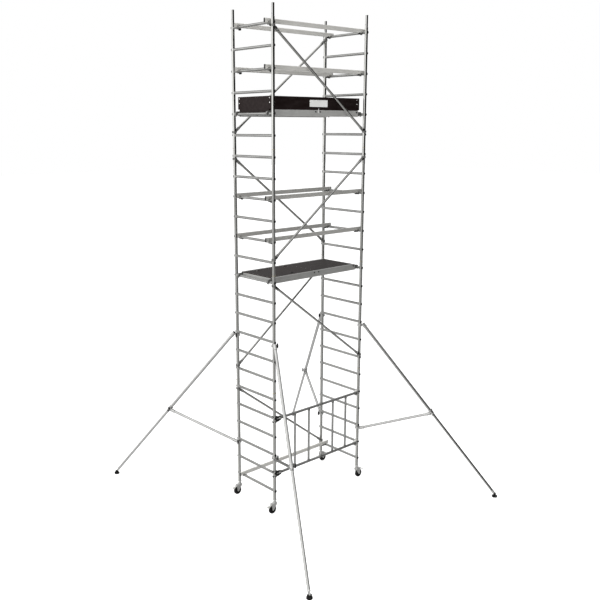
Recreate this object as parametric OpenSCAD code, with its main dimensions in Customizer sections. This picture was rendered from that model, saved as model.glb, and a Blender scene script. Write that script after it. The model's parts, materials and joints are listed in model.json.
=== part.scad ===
// Mobile tower scaffold: four pairs of ladder frames on braked castors, with two trapdoor
// decks, hook-on guard rails, diagonal braces, a folding base gate and four outriggers.
// Millimetres. X runs along the decks, Y across them, Z up. The origin is on the floor,
// under the middle of the tower. "Front" is -Y and "left" is -X.

/* [Frames] */
// Distance between the left and the right ladder frames, centre to centre
frame_l = 1742; // [1600:1:2000]
// Distance between the front and rear standards, centre to centre
frame_w = 816; // [790:1:900]
// Distance from one rung to the next
rung_pitch = 280; // [270:1:300]
// Height of the lowest rung above the floor
first_rung_z = 338; // [330:1:360]
// Outer diameter of a standard
standard_d = 45; // [44:0.5:48]
// Wall of a standard
standard_wall = 2.5; // [2:0.1:3]
// Outer diameter of a rung
rung_d = 35; // [32:0.5:36]
// Wall of a rung
rung_wall = 2.5; // [2:0.1:3]
// Height of a frame joint above the frame's top rung
joint_above = 65; // [60:1:80]

/* [Rails and braces] */
// Height of a guard rail
rail_h = 57; // [50:1:60]
// Thickness of a guard rail
rail_t = 25; // [20:1:30]
// Overall length of a guard rail with its end caps
rail_l = 1870; // [1850:1:1900]
// Distance of each guard rail from the middle of the tower
rail_y = 315; // [305:1:320]
// Outer diameter of a diagonal brace
brace_d = 32; // [28:1:34]

/* [Decks] */
// Outer width of a deck
deck_w = 676; // [660:2:680]
// Sideways offset of the decks from the middle of the tower
deck_y = 13; // [5:1:15]
// Height of a deck beam
beam_h = 85; // [80:1:90]
// Thickness of a deck board
board_t = 10; // [8:1:12]
// Height of the toe boards above the deck beam
toe_h = 172; // [150:1:190]
// Length of a trapdoor
hatch_l = 630; // [560:5:660]

/* [Castors] */
// Diameter of a castor wheel
wheel_d = 125; // [120:1:130]
// Width of a castor wheel
wheel_w = 34; // [30:1:38]
// Distance of the wheel axle behind the swivel axis
castor_trail = 44; // [40:1:48]

/* [Outriggers] */
// Horizontal distance from a standard to its outrigger foot
leg_reach = 2150; // [1800:10:2200]
// Height of the outrigger's upper clamp
leg_top_z = 2530; // [2525:1:2535]
// Height of the outrigger's lower clamp
strut_low_z = 855; // [850:1:860]
// Angle between an outrigger and the length of the tower
leg_azimuth = 60; // [30:1:75]
// Outer diameter of the upper leg tube
leg_d = 43; // [42:0.5:44]
// Outer diameter of the lower leg tube, which slides inside the upper one
lower_leg_d = 38; // [36:0.5:38.5]

/* [Hidden] */
$fn = 48;

eps = 0.1;            // gap that keeps neighbouring pieces apart
hx = frame_l / 2;
hy = frame_w / 2;
rungs = 6;            // rungs in each ladder frame
standard_r = standard_d / 2;
standard_id = standard_d - 2 * standard_wall;
rung_r = rung_d / 2;
base_below = 130;     // lowest rung to the bottom end of a standard
rung_proud = 2;       // rung end beyond the face of a standard
spigot_d = standard_id - 0.2;
spigot_up = 163;
spigot_down = 44;
clip_up = 35;         // frame joint to its clip pin
clip_pin_d = 8;
spigot_groove = 2;    // crimped groove above and below the frame joint

MIDDLE_RUNG = 12;
UPPER_RUNG = 20;
// Rung number and side of every guard rail
RAILS = [[24, -1], [24, 1], [22, -1], [22, 1], [16, -1], [16, 1], [14, -1], [14, 1], [1, 1]];
// Frame number and side at the upper end of every brace
FRONT_BRACES = [[4, -1], [3, 1], [2, -1]];
REAR_BRACES = [[4, 1], [3, -1], [2, 1], [1, -1]];
ALL_CORNERS = [[-1, -1], [1, -1], [-1, 1], [1, 1]];

function rung_z(n) = first_rung_z + (n - 1) * rung_pitch;
function joint_z(frame) = rung_z(rungs * frame) + joint_above;

// A plain tube on the Z axis
module tube(outer_d, inner_d, h) {
  difference() {
    cylinder(d = outer_d, h = h);
    translate([0, 0, -1]) cylinder(d = inner_d, h = h + 2);
  }
}

// A hollow or solid bar with round corners, drawn in the plane of its section
module rounded_rect(w, h, r) {
  square([w - 2 * r, h], center = true);
  square([w, h - 2 * r], center = true);
  for (x = [-1, 1], y = [-1, 1])
    translate([x * (w / 2 - r), y * (h / 2 - r)]) circle(r = r);
}

// A box given by its lowest and highest corners
module box(low, high) {
  translate(low) cube(high - low);
}

// ---- ladder frames ----

module standard(frame, x, y) {
  z0 = frame == 1 ? first_rung_z - base_below : joint_z(frame - 1) + 2 * eps;
  z1 = joint_z(frame);
  translate([x, y, 0]) difference() {
    translate([0, 0, z0]) tube(standard_d, standard_id, z1 - z0);
    for (k = [1:rungs])
      translate([0, 0, rung_z(rungs * (frame - 1) + k)]) rotate([90, 0, 0])
        cylinder(d = rung_d + 2 * eps, h = standard_d + 2, center = true);
    if (frame > 1)
      translate([0, 0, joint_z(frame - 1) + clip_up]) rotate([0, 90, 0])
        cylinder(d = clip_pin_d + 2 * eps, h = standard_d + 2, center = true);
  }
}

module rung(x, z) {
  l = frame_w + standard_d + 2 * rung_proud;
  translate([x, l / 2, z]) rotate([90, 0, 0]) tube(rung_d, rung_d - 2 * rung_wall, l);
}

// The left and right ladder frames of one level
module ladder_frames(frame) color("silver")
  for (x = [-hx, hx]) {
    for (y = [-hy, hy]) standard(frame, x, y);
    for (k = [1:rungs]) rung(x, rung_z(rungs * (frame - 1) + k));
  }

// Tubes that stand out of each frame's top ends, grooved where the two standards meet
module frame_spigots() color("gainsboro")
  for (frame = [1:4], c = ALL_CORNERS)
    translate([c[0] * hx, c[1] * hy, joint_z(frame)]) difference() {
      translate([0, 0, -spigot_down]) tube(spigot_d, spigot_d - 5, spigot_down + spigot_up);
      translate([0, 0, -spigot_groove]) tube(spigot_d + 2, spigot_d - 1.6, 2 * spigot_groove);
      translate([0, 0, clip_up]) rotate([0, 90, 0])
        cylinder(d = clip_pin_d + 2 * eps, h = standard_d, center = true);
    }

// A pin through the standard, with a spring ring that snaps round the outside of it
module locking_clips() color("darkkhaki") {
  ring_r = standard_r + 3.5;
  wire_d = 4;
  for (frame = [1:3], c = ALL_CORNERS)
    translate([c[0] * hx, c[1] * hy, joint_z(frame) + clip_up]) {
      translate([-ring_r - 2, 0, 0]) rotate([0, 90, 0]) cylinder(d = clip_pin_d, h = 2 * ring_r + 4);
      rotate([0, 0, c[1] > 0 ? 0 : 180])
        rotate_extrude(angle = 180) translate([ring_r, 0]) circle(d = wire_d);
    }
}

// ---- folding base gate ----
// The left leaf hinges on the front left post, the right leaf on the left one. The right
// leaf's saddle only clips on the front right standard, so the linkage is open there.

gate_post_x = -hx + 114;              // axis of the post hinge
gate_mid_x = (gate_post_x + hx) / 2;  // axis of the centre hinge
gate_axis_y = 20;                     // centre hinge axis, inward of the rails
gate_z = [rung_z(2) - 16, rung_z(5) - 16];
upright_x = [251, 531];               // uprights, from the centre hinge
upright_d = 30;
gate_pin_d = 10;
gate_bore_d = gate_pin_d + 0.1;
eye_h = 34;
centre_eye_h = 24;
lug_t = 6;
clamp_low = -42;                      // clamps reach below and above the middle of a rail
clamp_high = 48;
band_h = 12;
tongue_l = 34;

// Two rails and two uprights of one leaf; dir is the side that the leaf lies on
module leaf_tubes(x0, x1, dir) {
  for (z = gate_z)
    translate([x0, -hy, z]) rotate([0, 90, 0]) tube(rung_d, rung_d - 2 * rung_wall, x1 - x0);
  for (u = upright_x)
    translate([gate_mid_x + dir * u, -hy, gate_z[0] + rung_r - 3])
      cylinder(d = upright_d, h = gate_z[1] - gate_z[0] - rung_d + 6);
}

module gate_left_leaf() color("silver") {
  for (z = gate_z) translate([gate_mid_x, -hy + gate_axis_y, z]) {
    cylinder(d = gate_pin_d, h = 40, center = true);
    translate([0, 0, 20]) cylinder(d = 15, h = 4);
  }
  difference() {
    union() {
      leaf_tubes(gate_post_x + 20, gate_mid_x - 14, -1);
      for (z = gate_z) {
        translate([gate_post_x, -hy, z - eye_h / 2]) cylinder(d = 28, h = eye_h);
        translate([gate_post_x, -hy - 9, z - eye_h / 2]) cube([tongue_l, 18, eye_h]);
        for (s = [-1, 1])
          translate([gate_mid_x, -hy + gate_axis_y, z + s * (centre_eye_h / 2 + 0.5 + lug_t / 2)]) {
            cylinder(d = 24, h = lug_t, center = true);
            translate([-16, -18, 0]) cube([28, 24, lug_t], center = true);
          }
      }
    }
    for (z = gate_z) {
      translate([gate_post_x, -hy, z - eye_h]) cylinder(d = gate_bore_d, h = 2 * eye_h);
      translate([gate_mid_x, -hy + gate_axis_y, z - eye_h]) cylinder(d = gate_bore_d, h = 2 * eye_h);
    }
  }
}

module gate_right_leaf() color("silver") {
  saddle_r = standard_r + 0.7;
  difference() {
    union() {
      leaf_tubes(gate_mid_x + 14, hx - 56, 1);
      for (z = gate_z) {
        translate([gate_mid_x, -hy + gate_axis_y, z]) {
          cylinder(d = 24, h = centre_eye_h, center = true);
          translate([16, -18, 0]) cube([28, 24, centre_eye_h], center = true);
        }
        translate([hx, -hy + 14, z]) rotate([90, 0, 0]) linear_extrude(28)
          polygon([[-90, -rung_r - 3], [-60, clamp_low], [-20, clamp_low], [-20, clamp_high],
            [-40, clamp_high], [-60, rung_r + 6], [-90, rung_r + 3]]);
        for (b = [clamp_low, clamp_high - band_h]) translate([hx, -hy, z + b])
          rotate([0, 0, 100]) rotate_extrude(angle = 160)
            translate([saddle_r, 0]) square([9, band_h]);
      }
    }
    for (z = gate_z) {
      translate([gate_mid_x, -hy + gate_axis_y, z]) cylinder(d = gate_bore_d, h = 2 * eye_h, center = true);
      translate([hx, -hy, z - 100]) cylinder(r = saddle_r, h = 200);
    }
  }
}

// Clamp on the front left standard, with a fork for the leaf's eye
module post_hinge(z) {
  fork_in = eye_h / 2 + 0.5;
  fork_out = fork_in + 9;
  difference() {
    union() {
      translate([-hx, -hy + 14, z]) rotate([90, 0, 0]) linear_extrude(28)
        polygon([[0, clamp_low], [60, clamp_low], [114, -fork_out], [114, fork_out],
          [60, fork_out + 4], [40, clamp_high], [0, clamp_high]]);
      translate([gate_post_x, -hy, z - fork_out]) cylinder(d = 28, h = 2 * fork_out);
      for (b = [clamp_low, clamp_high - band_h])
        translate([-hx, -hy, z + b]) cylinder(d = standard_d + 18, h = band_h);
    }
    translate([-hx, -hy, z - 100]) cylinder(d = standard_d + 2 * eps, h = 200);
    box([gate_post_x - 34, -hy - 20, z - fork_in], [gate_post_x + 20, -hy + 20, z + fork_in]);
    translate([gate_post_x, -hy, z - 100]) cylinder(d = gate_bore_d, h = 200);
  }
}

module gate_post_hinges() color("#202020")
  for (z = gate_z) {
    post_hinge(z);
    translate([gate_post_x, -hy, z - 28]) cylinder(d = gate_pin_d, h = 56);
  }

// ---- guard rails ----

rail_low = -5;        // underside of a rail, from the middle of its rung
cap_t = 4;
claw_bore_r = rung_r + 0.2;

module rail_tube(y, z) {
  l = rail_l - 2 * cap_t;
  translate([0, y, z]) difference() {
    translate([-l / 2, 0, rail_low + rail_h / 2]) rotate([90, 0, 90]) linear_extrude(l)
      difference() {
        rounded_rect(rail_t, rail_h, 6);
        rounded_rect(rail_t - 4, rail_h - 4, 4);
      }
    for (s = [-1, 1]) translate([s * hx, 0, 0]) {
      rotate([90, 0, 0]) cylinder(r = claw_bore_r, h = rail_t + 2, center = true);
      translate([0, 0, -rail_h / 2]) cube([2 * claw_bore_r, rail_t + 2, rail_h], center = true);
    }
  }
}

module guard_rails() color("lightgray")
  for (r = RAILS) rail_tube(r[1] * rail_y, rung_z(r[0]));

module rail_end_caps() color("#181818")
  for (r = RAILS, s = [0, 1])
    translate([0, r[1] * rail_y, rung_z(r[0]) + rail_low + rail_h / 2]) mirror([s, 0, 0])
      translate([rail_l / 2 - cap_t + eps, 0, 0]) rotate([90, 0, 90]) linear_extrude(cap_t)
        rounded_rect(rail_t, rail_h, 6);

// A hook under each rail end, which grips the rung from the inner side
module rail_claws() {
  claw_w = rail_t - 1;
  top = rail_low - eps;
  for (r = RAILS, s = [0, 1])
    translate([0, r[1] * rail_y, rung_z(r[0])]) mirror([s, 0, 0]) translate([hx, 0, 0])
      difference() {
        union() {
          rotate([90, 0, 0]) cylinder(r = 28, h = claw_w, center = true);
          box([-52, -claw_w / 2, -20], [-15, claw_w / 2, 0]);
        }
        rotate([90, 0, 0]) cylinder(r = claw_bore_r, h = claw_w + 2, center = true);
        box([-60, -20, top], [60, 20, 60]);
        box([6, -20, -60], [60, 20, 60]);
      }
}

// ---- diagonal braces ----

brace_end = 40;       // claw height from the frame's first or last rung
brace_rise = (rungs - 1) * rung_pitch - 2 * brace_end;
brace_angle = atan2(brace_rise, frame_l);
brace_cut = 52;       // tube end to the axis of the standard, along the brace
claw_h = 30;

// Places a brace's own frame: Z along the tube, from the upper standard downwards
module on_brace(frame, side, y) {
  translate([side * hx, y, rung_z(rungs * frame) - brace_end])
    rotate([0, -side * (90 + brace_angle), 0]) children();
}

module brace_tube(frame, side, y) {
  l = sqrt(pow(frame_l, 2) + pow(brace_rise, 2));
  on_brace(frame, side, y) translate([0, 0, brace_cut]) tube(brace_d, brace_d - 4, l - 2 * brace_cut);
}

// One claw: a split ring on the standard and a socket for the tube end
module brace_claw(x, y, z, out, tilt) {
  translate([x, y, z]) difference() {
    union() {
      cylinder(d = standard_d + 18, h = claw_h, center = true);
      rotate([0, tilt, 0]) translate([0, 0, 24]) cylinder(d = brace_d + 7, h = 66);
    }
    rotate([0, tilt, 0]) translate([0, 0, brace_cut - 1]) cylinder(d = brace_d + 2 * eps, h = 100);
    cylinder(d = standard_d + 2 * eps, h = 200, center = true);
    translate([-out * 40, 0, 0]) cube([60, 22, claw_h + 2], center = true);
  }
}

module diagonal_braces() color("silver") {
  for (b = FRONT_BRACES) brace_tube(b[0], b[1], -hy);
  for (b = REAR_BRACES) brace_tube(b[0], b[1], hy);
}

module claw_pair(frame, side, y) {
  brace_claw(side * hx, y, rung_z(rungs * frame) - brace_end, -side, -side * (90 + brace_angle));
  brace_claw(-side * hx, y, rung_z(rungs * (frame - 1) + 1) + brace_end, side,
    side * (90 - brace_angle));
}

module hook_claws() color("dimgray") {
  rail_claws();
  for (b = FRONT_BRACES) claw_pair(b[0], b[1], -hy);
  for (b = REAR_BRACES) claw_pair(b[0], b[1], hy);
}

// ---- decks ----

deck_hx = hx - 50;                 // half length of a deck's frame
beam_t = 30;
beam_top = 52;                     // top of a beam, from the middle of its rung
board_top = 50;
cross_low = -20;
cross_high = board_top - board_t - eps;
cross_t = 30;
centre_cross_x = 15;
centre_cross_t = 60;
beam_in = deck_w / 2 - beam_t;     // deck centre line to the inner face of a beam
hatch_x1 = centre_cross_x - centre_cross_t / 2 - 15;
hatch_x0 = hatch_x1 - hatch_l;
hatch_gap = 2;
hatch_front = -263;                // from the deck's centre line
hatch_rear = 249;
hinge_up = 6.5;                     // hatch hinge axis above the board
hinge_x = [hatch_x0 + 86, hatch_x1 - 40];

module on_deck(rung_number) {
  translate([0, deck_y, rung_z(rung_number)]) children();
}

module hollow_bar(l, w, h, wall) {
  rotate([90, 0, 90]) linear_extrude(l) difference() {
    square([w, h]);
    translate([wall, wall]) square([w - 2 * wall, h - 2 * wall]);
  }
}

module deck_frame(rung_number) color("darkgray") on_deck(rung_number) {
  cross_l = 2 * beam_in - 2 * eps;
  for (y = [-deck_w / 2, beam_in])
    translate([-deck_hx, y, beam_top - beam_h]) hollow_bar(2 * deck_hx, beam_t, beam_h, 2.5);
  for (x = [-deck_hx + cross_t, deck_hx, centre_cross_x + centre_cross_t / 2]) {
    t = x > 0 && x < deck_hx ? centre_cross_t : cross_t;
    translate([x, -cross_l / 2, cross_low]) rotate([0, 0, 90])
      hollow_bar(cross_l, t, cross_high - cross_low, 2.5);
  }
}

module deck_board(rung_number) color("#3f3a3a") on_deck(rung_number)
  difference() {
    box([-deck_hx, -beam_in + eps, board_top - board_t], [deck_hx, beam_in - eps, board_top]);
    box([hatch_x0, hatch_front, 0], [hatch_x1, hatch_rear, 100]);
  }

// The trapdoor, with a knuckle at each end of its rear edge
module deck_hatch(rung_number) color("#4a4444") on_deck(rung_number) {
  knuckle_l = 30;
  axis_y = hatch_rear - hatch_gap;
  difference() {
    union() {
      box([hatch_x0 + hatch_gap, hatch_front + hatch_gap, board_top - board_t],
        [hatch_x1 - hatch_gap, axis_y - 1, board_top]);
      for (x = hinge_x) translate([x - knuckle_l / 2, axis_y, board_top + hinge_up]) {
        rotate([0, 90, 0]) cylinder(d = 12, h = knuckle_l);
        translate([0, -28, -hinge_up - 0.5]) cube([knuckle_l, 28, 4]);
      }
    }
    translate([hatch_x0, axis_y, board_top + hinge_up]) rotate([0, 90, 0])
      cylinder(d = 6.1, h = hatch_l);
  }
}

// Fixed half of each hatch hinge: an oblong plate, two knuckles and the pin
module hatch_hinge() {
  plate_t = 3;
  plate_z = -hinge_up + eps;
  for (s = [-1, 1]) translate([s * 22.5, 0, 0]) {
    rotate([0, 90, 0]) cylinder(d = 12, h = 13, center = true);
    translate([-6.5, 0, plate_z]) cube([13, 20, plate_t]);
  }
  rotate([0, 90, 0]) cylinder(d = 6, h = 58, center = true);
  translate([-27, 8, plate_z]) cube([54, 22, plate_t]);
  for (s = [-1, 1]) translate([s * 27, 19, plate_z]) cylinder(d = 22, h = plate_t);
}

// Hook that carries a deck on its rung
module deck_hook() {
  hook_w = 24;
  inner_r = rung_r + 0.3;
  outer_r = 36;
  rotate([90, 0, 0]) translate([0, 0, -hook_w / 2]) linear_extrude(hook_w) difference() {
    union() {
      circle(r = outer_r);
      translate([-50 + eps, -24]) square([50, outer_r + 24]);
      translate([inner_r, -26]) square([outer_r - inner_r - 4, 26]);
    }
    circle(r = inner_r);
    translate([-inner_r, -outer_r - 1]) square([2 * inner_r, outer_r + 1]);
    translate([outer_r - 18, -outer_r - 2]) square([30, 14]);
    translate([-outer_r, -outer_r - 1]) square([outer_r, 13]);
  }
}

module deck_fittings() color("dimgray") {
  bolt_z = 30;
  for (rung_number = [MIDDLE_RUNG, UPPER_RUNG]) on_deck(rung_number) {
    for (s = [0, 1], y = [-1, 1]) mirror([s, 0, 0])
      translate([hx, y * (deck_w - beam_t) / 2, 0]) deck_hook();
    for (x = [-deck_hx + 34, centre_cross_x - 43, centre_cross_x + 43, deck_hx - 34], y = [-1, 1])
      translate([x, y * (deck_w / 2 + 2.1), bolt_z]) rotate([90, 0, 0])
        cylinder(d = 18, h = 4, center = true);
    for (x = hinge_x) translate([x, hatch_rear - hatch_gap, board_top + hinge_up]) hatch_hinge();
  }
}

// ---- toe boards ----

toe_t = 18;
toe_low = beam_top + eps;
toe_end_low = 20;                  // lower edge of the end boards
toe_notch = 60;                    // end boards are cut away for the hooks up to here
toe_x = deck_hx + 2;               // inner face of an end board
toe_hy = deck_w / 2 + 5;           // half length of an end board

module toe_boards() color("#1c1616") on_deck(UPPER_RUNG) {
  top = toe_low + toe_h;
  for (s = [-1, 1]) translate([0, s * (deck_w / 2 - toe_t / 2 - 4), 0])
    box([-toe_x + eps, -toe_t / 2, toe_low], [toe_x - eps, toe_t / 2, top]);
  for (s = [0, 1]) mirror([s, 0, 0]) difference() {
    box([toe_x, -toe_hy, toe_end_low], [toe_x + toe_t, toe_hy, top]);
    for (y = [-1, 1]) translate([toe_x + toe_t / 2, y * toe_hy, toe_end_low])
      cube([toe_t + 2, 2 * (toe_hy - deck_w / 2 + beam_t + 8), 2 * (toe_notch - toe_end_low)], center = true);
  }
}

// Rivet heads, corner angles and lower clips of the toe boards, and a blank plate
module toe_board_fittings() color("whitesmoke") on_deck(UPPER_RUNG) {
  top = toe_low + toe_h;
  face_y = deck_w / 2 - 4 + eps;
  for (s = [0, 1]) mirror([s, 0, 0]) {
    for (y = [-toe_hy + 26, toe_hy - 26], z = [top - 24, top - 82])
      translate([toe_x + toe_t + eps, y, z]) rotate([0, 90, 0]) cylinder(d = 12, h = 3);
    for (y = [-1, 1], z = [top - 24, top - 82])
      translate([toe_x - 26, y * (face_y + 1.5), z]) rotate([90, 0, 0])
        cylinder(d = 12, h = 3, center = true);
    for (y = [0, 1]) mirror([0, y, 0])
      translate([toe_x - 28 - eps, face_y - toe_t - 28 - 2 * eps, top - 100]) difference() {
        cube([28, 28, 90]);
        translate([-1, -1, -1]) cube([26, 26, 92]);
      }
  }
  for (y = [-1, 1])
    translate([centre_cross_x + 15, y * (deck_w / 2 + 1 + eps), toe_low - 12])
      cube([9, 2, 60], center = true);
  translate([33, -face_y - 1, toe_low + 88]) rotate([90, 0, 0])
    linear_extrude(2, center = true) rounded_rect(340, 92, 6);
}

// ---- castors ----

wheel_r = wheel_d / 2;
standard_low = first_rung_z - base_below;
axle_d = 10;
spindle_d = 14;
fork_top = 154;
fork_plate_t = 6;
fork_in = wheel_w / 2 + 3;
fork_cheek_t = 4;
pedal_x = castor_trail + 8;
pedal_z = 139;
pedal_pin_d = 6;
pedal_w = 2 * fork_in - 4;
pedal_slope = 24;

module on_castor(c) {
  translate([c[0] * hx, c[1] * hy, 0]) mirror([c[0] < 0 ? 1 : 0, 0, 0]) children();
}

// Stem that plugs into the standard, its collar and the swivel spindle
module castor_stems() color("gainsboro")
  for (c = ALL_CORNERS) on_castor(c) {
    translate([0, 0, fork_top + 0.4]) cylinder(d = 56, h = 10);
    translate([0, 0, fork_top + 10]) cylinder(d = 34, h = standard_low - fork_top - 20);
    translate([0, 0, standard_low - 12]) cylinder(d = standard_d + 5, h = 12 - 2 * eps);
    translate([0, 0, standard_low - 4]) cylinder(d = standard_id - 0.3, h = 100);
    translate([0, 0, 130]) cylinder(d = spindle_d, h = fork_top - 120);
    translate([0, 0, 130]) cylinder(d = 24, h = fork_top - fork_plate_t - 0.4 - 130);
  }

module fork_cheek() {
  linear_extrude(fork_cheek_t) difference() {
    union() {
      polygon([[-26, fork_top], [-26, fork_top - 16], [castor_trail - 15, wheel_r - 6],
        [castor_trail + 15, wheel_r - 6], [castor_trail + 24, fork_top - 34],
        [castor_trail + 24, fork_top]]);
      translate([castor_trail, wheel_r]) circle(r = 16);
    }
    translate([12, 112]) circle(r = 9);
  }
}

module castor_fork(c) color("lightgray") on_castor(c) difference() {
  union() {
    for (y = [fork_in + fork_cheek_t, -fork_in]) translate([0, y, 0]) rotate([90, 0, 0]) fork_cheek();
    box([-26, -fork_in - 1, fork_top - fork_plate_t], [castor_trail + 24, fork_in + 1, fork_top]);
    translate([0, 0, fork_top - fork_plate_t]) cylinder(d = 56, h = fork_plate_t);
    translate([castor_trail, 0, wheel_r]) rotate([90, 0, 0]) {
      cylinder(d = axle_d, h = 2 * fork_in + 22, center = true);
      for (s = [-1, 1]) translate([0, 0, s * (fork_in + 7)])
        cylinder(d = 17, h = 6, center = true, $fn = 6);
    }
    translate([pedal_x, 0, pedal_z]) rotate([90, 0, 0])
      cylinder(d = pedal_pin_d, h = 2 * fork_in + 12, center = true);
  }
  translate([0, 0, fork_top - 20]) cylinder(d = spindle_d + 0.1, h = 40);
}

// Tyre and hub turned as one wheel, with a bore for the axle
module castor_wheel(c) color("#151515") on_castor(c)
  translate([castor_trail, 0, wheel_r]) rotate([90, 0, 0]) difference() {
    union() {
      translate([0, 0, -wheel_w / 2 + 5]) cylinder(d = wheel_d, h = wheel_w - 10);
      for (s = [-1, 1]) translate([0, 0, s * (wheel_w / 2 - 2.5)])
        cylinder(r1 = wheel_r - (s > 0 ? 0 : 5), r2 = wheel_r - (s > 0 ? 5 : 0), h = 5, center = true);
      cylinder(d = 26, h = 2 * fork_in - 1, center = true);
    }
    for (s = [-1, 1]) translate([0, 0, s * wheel_w / 2]) difference() {
      cylinder(d = wheel_d - 32, h = 16, center = true);
      cylinder(d = 40, h = 18, center = true);
    }
    cylinder(d = axle_d + 0.1, h = 100, center = true);
  }

// Foot pedal that turns on the fork's cross pin and slopes down over the wheel
module castor_brake(c) color("lightgray") on_castor(c)
  translate([pedal_x, 0, pedal_z]) difference() {
    union() {
      rotate([90, 0, 0]) cylinder(d = 16, h = pedal_w, center = true);
      rotate([0, pedal_slope, 0]) {
        box([5, 1 - pedal_w / 2, 1], [78, pedal_w / 2 - 1, 6]);
        box([62, -pedal_w / 2 - 6, 0], [84, pedal_w / 2 + 6, 9]);
      }
    }
    rotate([90, 0, 0]) cylinder(d = pedal_pin_d + 0.1, h = 100, center = true);
  }

// ---- outriggers ----
// In an outrigger's own frame the standard is the Z axis and the leg leans along +X.

ankle_z = 45;
leg_start = [70, leg_top_z];
leg_run = leg_reach - leg_start[0];
leg_drop = leg_top_z - ankle_z;
leg_angle = atan2(leg_drop, leg_run);
leg_l = sqrt(pow(leg_run, 2) + pow(leg_drop, 2));
collar_at = 0.515 * leg_l;          // collar from the leg's upper end
collar_l = 64;
upper_end = collar_at + collar_l / 2 + 30;
lower_end = leg_l - 42;
overlap_l = 620;
slide_gap = 0.08;
collar_x = leg_start[0] + collar_at * cos(leg_angle);
collar_z = leg_start[1] - collar_at * sin(leg_angle);
strut_d = 38;
strut_start = 60;                   // strut's inner end from the standard
strut_angle = atan2(collar_z - 24 - strut_low_z, collar_x - strut_start);
strut_l = sqrt(pow(collar_x - strut_start, 2) + pow(collar_z - 24 - strut_low_z, 2)) - 44;
clamp_h = 36;
clamp_d = standard_d + 24;
socket_wall = 5;
socket_l = 70;
collar_r = leg_d / 2 + socket_wall + 2;
boss_d = 22;
boss_out = 3;
knob_out = 25;
knob_bar_d = 20;
knob_bar_l = 60;
stem_d = 10;
knob_bore_d = stem_d + 0.1;
foot_d = 76;
foot_t = 22;
cheek_in = 12.6;
cheek_t = 9;
ankle_pin_d = 10;

module on_outrigger(c) {
  translate([c[0] * hx, c[1] * hy, 0])
    rotate([0, 0, atan2(c[1] * sin(leg_azimuth), c[0] * cos(leg_azimuth))]) children();
}

module along_leg(s) {
  translate([leg_start[0], 0, leg_start[1]]) rotate([0, 90 + leg_angle, 0])
    translate([0, 0, s]) children();
}

module along_strut(s) {
  translate([strut_start, 0, strut_low_z]) rotate([0, 90 - strut_angle, 0])
    translate([0, 0, s]) children();
}

// A ring clamp on the standard with a threaded boss for its knob
module ring_clamp() {
  cylinder(d = clamp_d, h = clamp_h, center = true);
  rotate([-90, 0, 0]) cylinder(d = boss_d, h = clamp_d / 2 + boss_out);
}

// Upper leg tube, strut, the two clamps and the collar that joins leg and strut
module outrigger_frame(c) color("gainsboro") on_outrigger(c) {
  along_leg(0) tube(leg_d, lower_leg_d + 2 * slide_gap, upper_end);
  along_strut(0) tube(strut_d, strut_d - 4, strut_l);
  difference() {
    union() {
      translate([0, 0, leg_top_z]) ring_clamp();
      along_leg(-34) cylinder(d = leg_d + 2 * socket_wall, h = socket_l);
    }
    along_leg(-0.5) cylinder(d = leg_d + 2 * eps, h = socket_l);
    translate([0, 0, leg_top_z]) clamp_bores();
  }
  difference() {
    union() {
      translate([0, 0, strut_low_z]) ring_clamp();
      along_strut(-30) cylinder(d = strut_d + 2 * socket_wall, h = socket_l);
    }
    along_strut(-0.5) cylinder(d = strut_d + 2 * eps, h = socket_l);
    translate([0, 0, strut_low_z]) clamp_bores();
  }
  difference() {
    union() {
      along_leg(collar_at - collar_l / 2) cylinder(r = collar_r, h = collar_l);
      along_strut(strut_l - 30) cylinder(d = strut_d + 2 * socket_wall, h = 60);
      translate([collar_x, 0, collar_z]) rotate([-90, 0, 0])
        cylinder(d = boss_d, h = collar_r + boss_out);
    }
    along_leg(collar_at - 100) cylinder(d = leg_d + 2 * eps, h = 200);
    along_strut(strut_l - 60) cylinder(d = strut_d + 2 * eps, h = 60.5);
    translate([collar_x, 0, collar_z]) rotate([-90, 0, 0]) cylinder(d = knob_bore_d, h = 100);
  }
}

module clamp_bores() {
  cylinder(d = standard_d + 2 * eps, h = 400, center = true);
  rotate([-90, 0, 0]) cylinder(d = knob_bore_d, h = 100);
}

// Knob that screws into a clamp: a stem and a crossbar; low is its inner end
module clamp_knob(c, x, z, low) color("#202020") on_outrigger(c) translate([x, 0, z]) {
  bar_at = low + knob_out;
  rotate([-90, 0, 0]) translate([0, 0, low]) cylinder(d = stem_d, h = bar_at - low);
  translate([0, bar_at, 0]) cylinder(d = knob_bar_d, h = knob_bar_l, center = true);
}

module top_knob(c) clamp_knob(c, 0, leg_top_z, standard_r + 2);

module low_knob(c) clamp_knob(c, 0, strut_low_z, standard_r + 2);

module collar_knob(c) clamp_knob(c, collar_x, collar_z, leg_d / 2 + 2);

module outrigger_lower_leg(c) color("darkgray") on_outrigger(c) difference() {
  union() {
    along_leg(upper_end - overlap_l) cylinder(d = lower_leg_d, h = lower_end - upper_end + overlap_l);
    along_leg(lower_end - 1) translate([-15, -12, 0]) cube([30, 24, leg_l - lower_end + 1]);
    translate([leg_reach, 0, ankle_z]) rotate([90, 0, 0]) cylinder(d = 30, h = 24, center = true);
  }
  along_leg(upper_end - overlap_l - 1)
    cylinder(d = lower_leg_d - 6, h = lower_end - upper_end + overlap_l - 20);
  translate([leg_reach, 0, ankle_z]) rotate([90, 0, 0])
    cylinder(d = ankle_pin_d + 0.1, h = 60, center = true);
}

module outrigger_foot(c) color("#101010") on_outrigger(c) translate([leg_reach, 0, 0]) {
  cylinder(d = foot_d, h = foot_t);
  for (s = [-1, 1]) translate([0, s * (cheek_in + cheek_t / 2), 0]) {
    translate([0, 0, ankle_z]) rotate([90, 0, 0]) cylinder(r = 17, h = cheek_t, center = true);
    translate([0, 0, (ankle_z + foot_t) / 2 - 1]) cube([34, cheek_t, ankle_z - foot_t + 2], center = true);
  }
  translate([0, 0, ankle_z]) rotate([90, 0, 0]) cylinder(d = ankle_pin_d, h = 50, center = true);
}

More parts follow.
